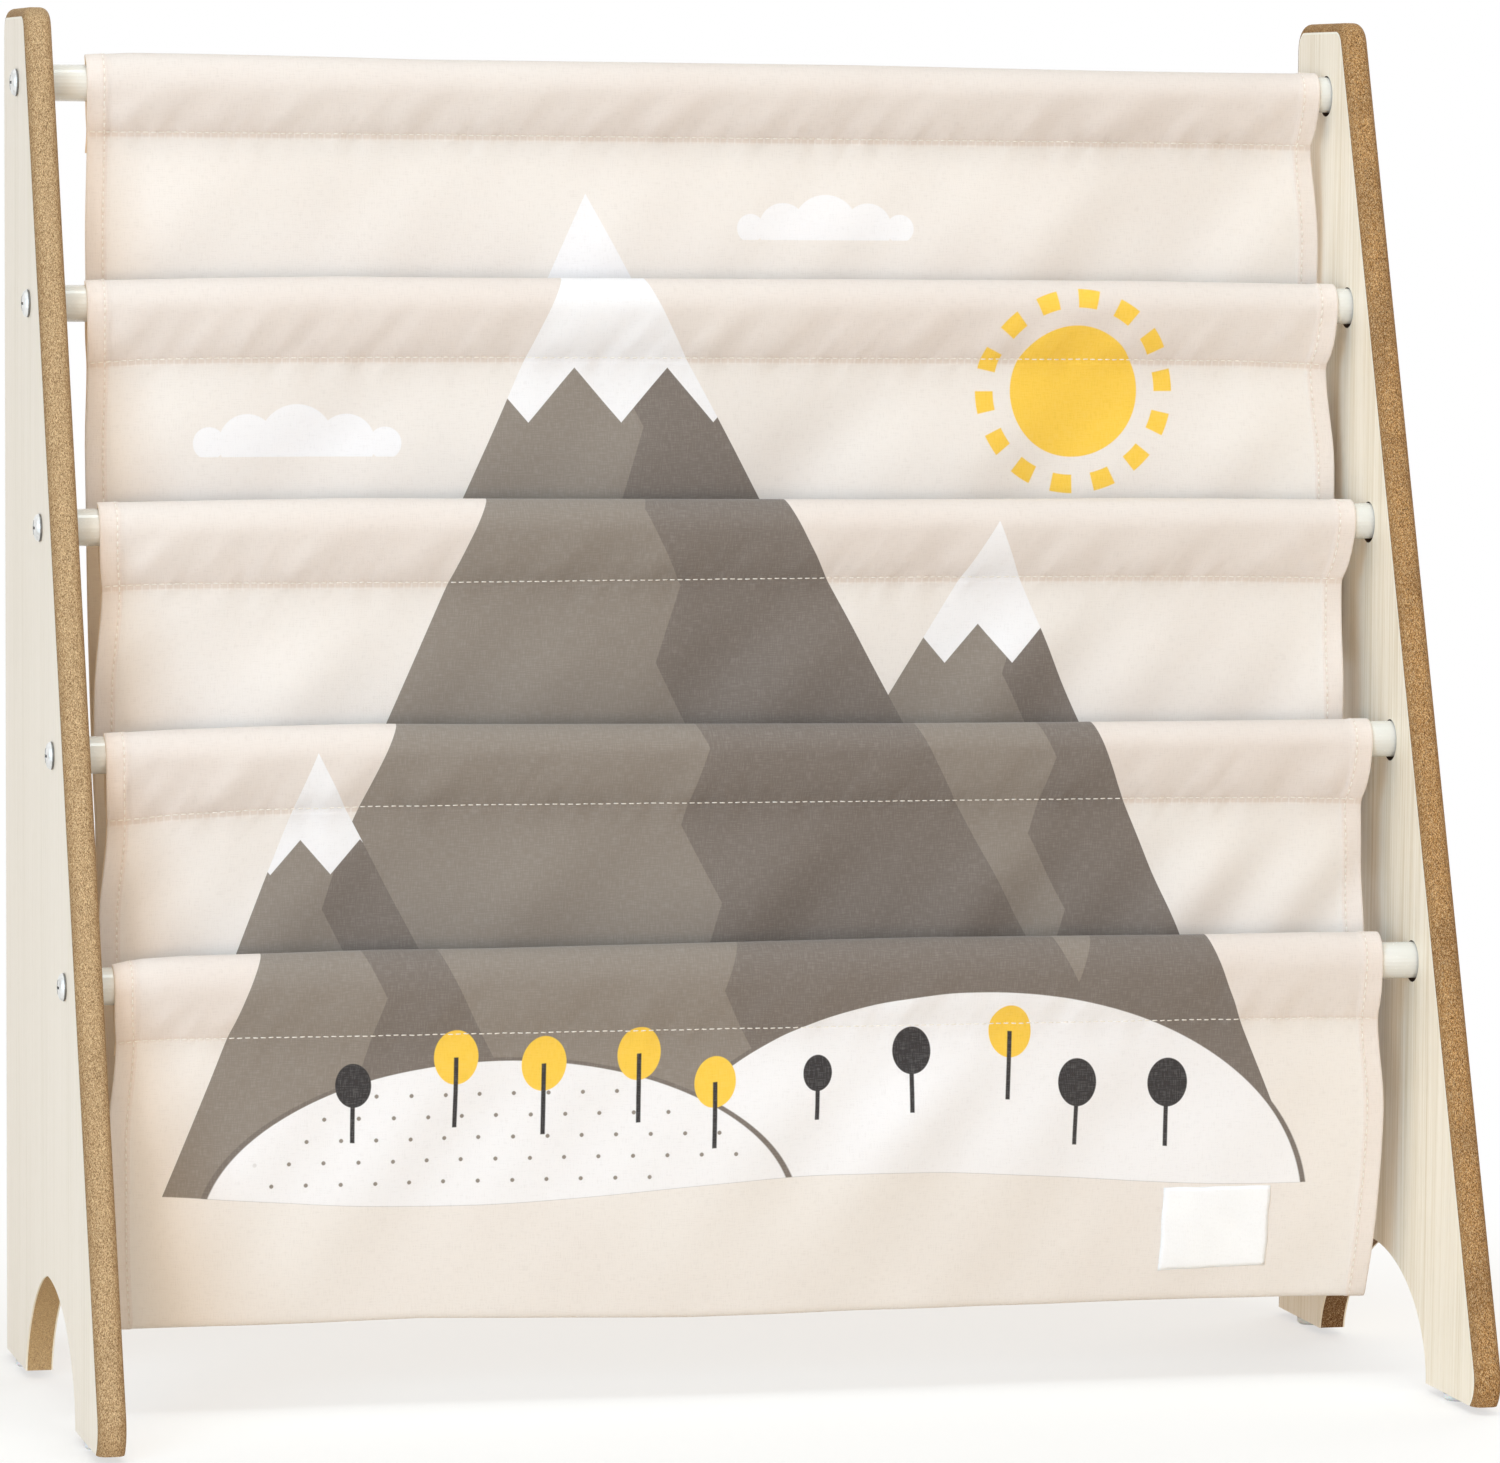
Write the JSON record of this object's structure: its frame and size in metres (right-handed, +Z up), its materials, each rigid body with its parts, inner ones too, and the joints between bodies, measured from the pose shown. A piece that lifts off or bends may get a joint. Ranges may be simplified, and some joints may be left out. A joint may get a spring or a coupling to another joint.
{
  "type": "sling bookshelf",
  "caption": "Freestanding children's book display: tubes between two tapered, arched side panels carry a canvas strip folded into stepped hanging pockets.",
  "frame": {"origin": "middle of the footprint on the floor: centre of the bounding box in plan, at its lowest height", "axes": "+X towards the right-hand panel as seen from the front, -Y towards the front (low, protruding side), +Y towards the upright back, +Z up"},
  "size_m": [0.6164, 0.28, 0.6],
  "materials": {
    "panel": "pale wood-grain laminate on both faces, bare fibreboard edges",
    "rod": "white powder coat, satin",
    "plug": "moulded",
    "screw": "zinc plated, domed head with a cross recess",
    "glide": "milky translucent",
    "nail": "bright",
    "canvas": "plain woven canvas, pale beige, printed front",
    "label": "blank woven tape"
  },
  "bodies": {
    "root": {"side_panel_left": "panel", "side_panel_right": "panel", "rod_1": "rod", "rod_2": "rod", "rod_3": "rod", "rod_4": "rod", "rod_5": "rod", "rod_insert_1_left": "plug", "rod_insert_1_right": "plug", "rod_insert_2_left": "plug", "rod_insert_2_right": "plug", "rod_insert_3_left": "plug", "rod_insert_3_right": "plug", "rod_insert_4_left": "plug", "rod_insert_4_right": "plug", "rod_insert_5_left": "plug", "rod_insert_5_right": "plug", "screw_1_left": "screw", "screw_1_right": "screw", "screw_2_left": "screw", "screw_2_right": "screw", "screw_3_left": "screw", "screw_3_right": "screw", "screw_4_left": "screw", "screw_4_right": "screw", "screw_5_left": "screw", "screw_5_right": "screw", "glide_back_left": "glide", "glide_front_left": "glide", "glide_back_right": "glide", "glide_front_right": "glide", "glide_nail_back_left": "nail", "glide_nail_front_left": "nail", "glide_nail_back_right": "nail", "glide_nail_front_right": "nail", "sling": "canvas", "sling_label": "label"}
  },
  "joints": []
}
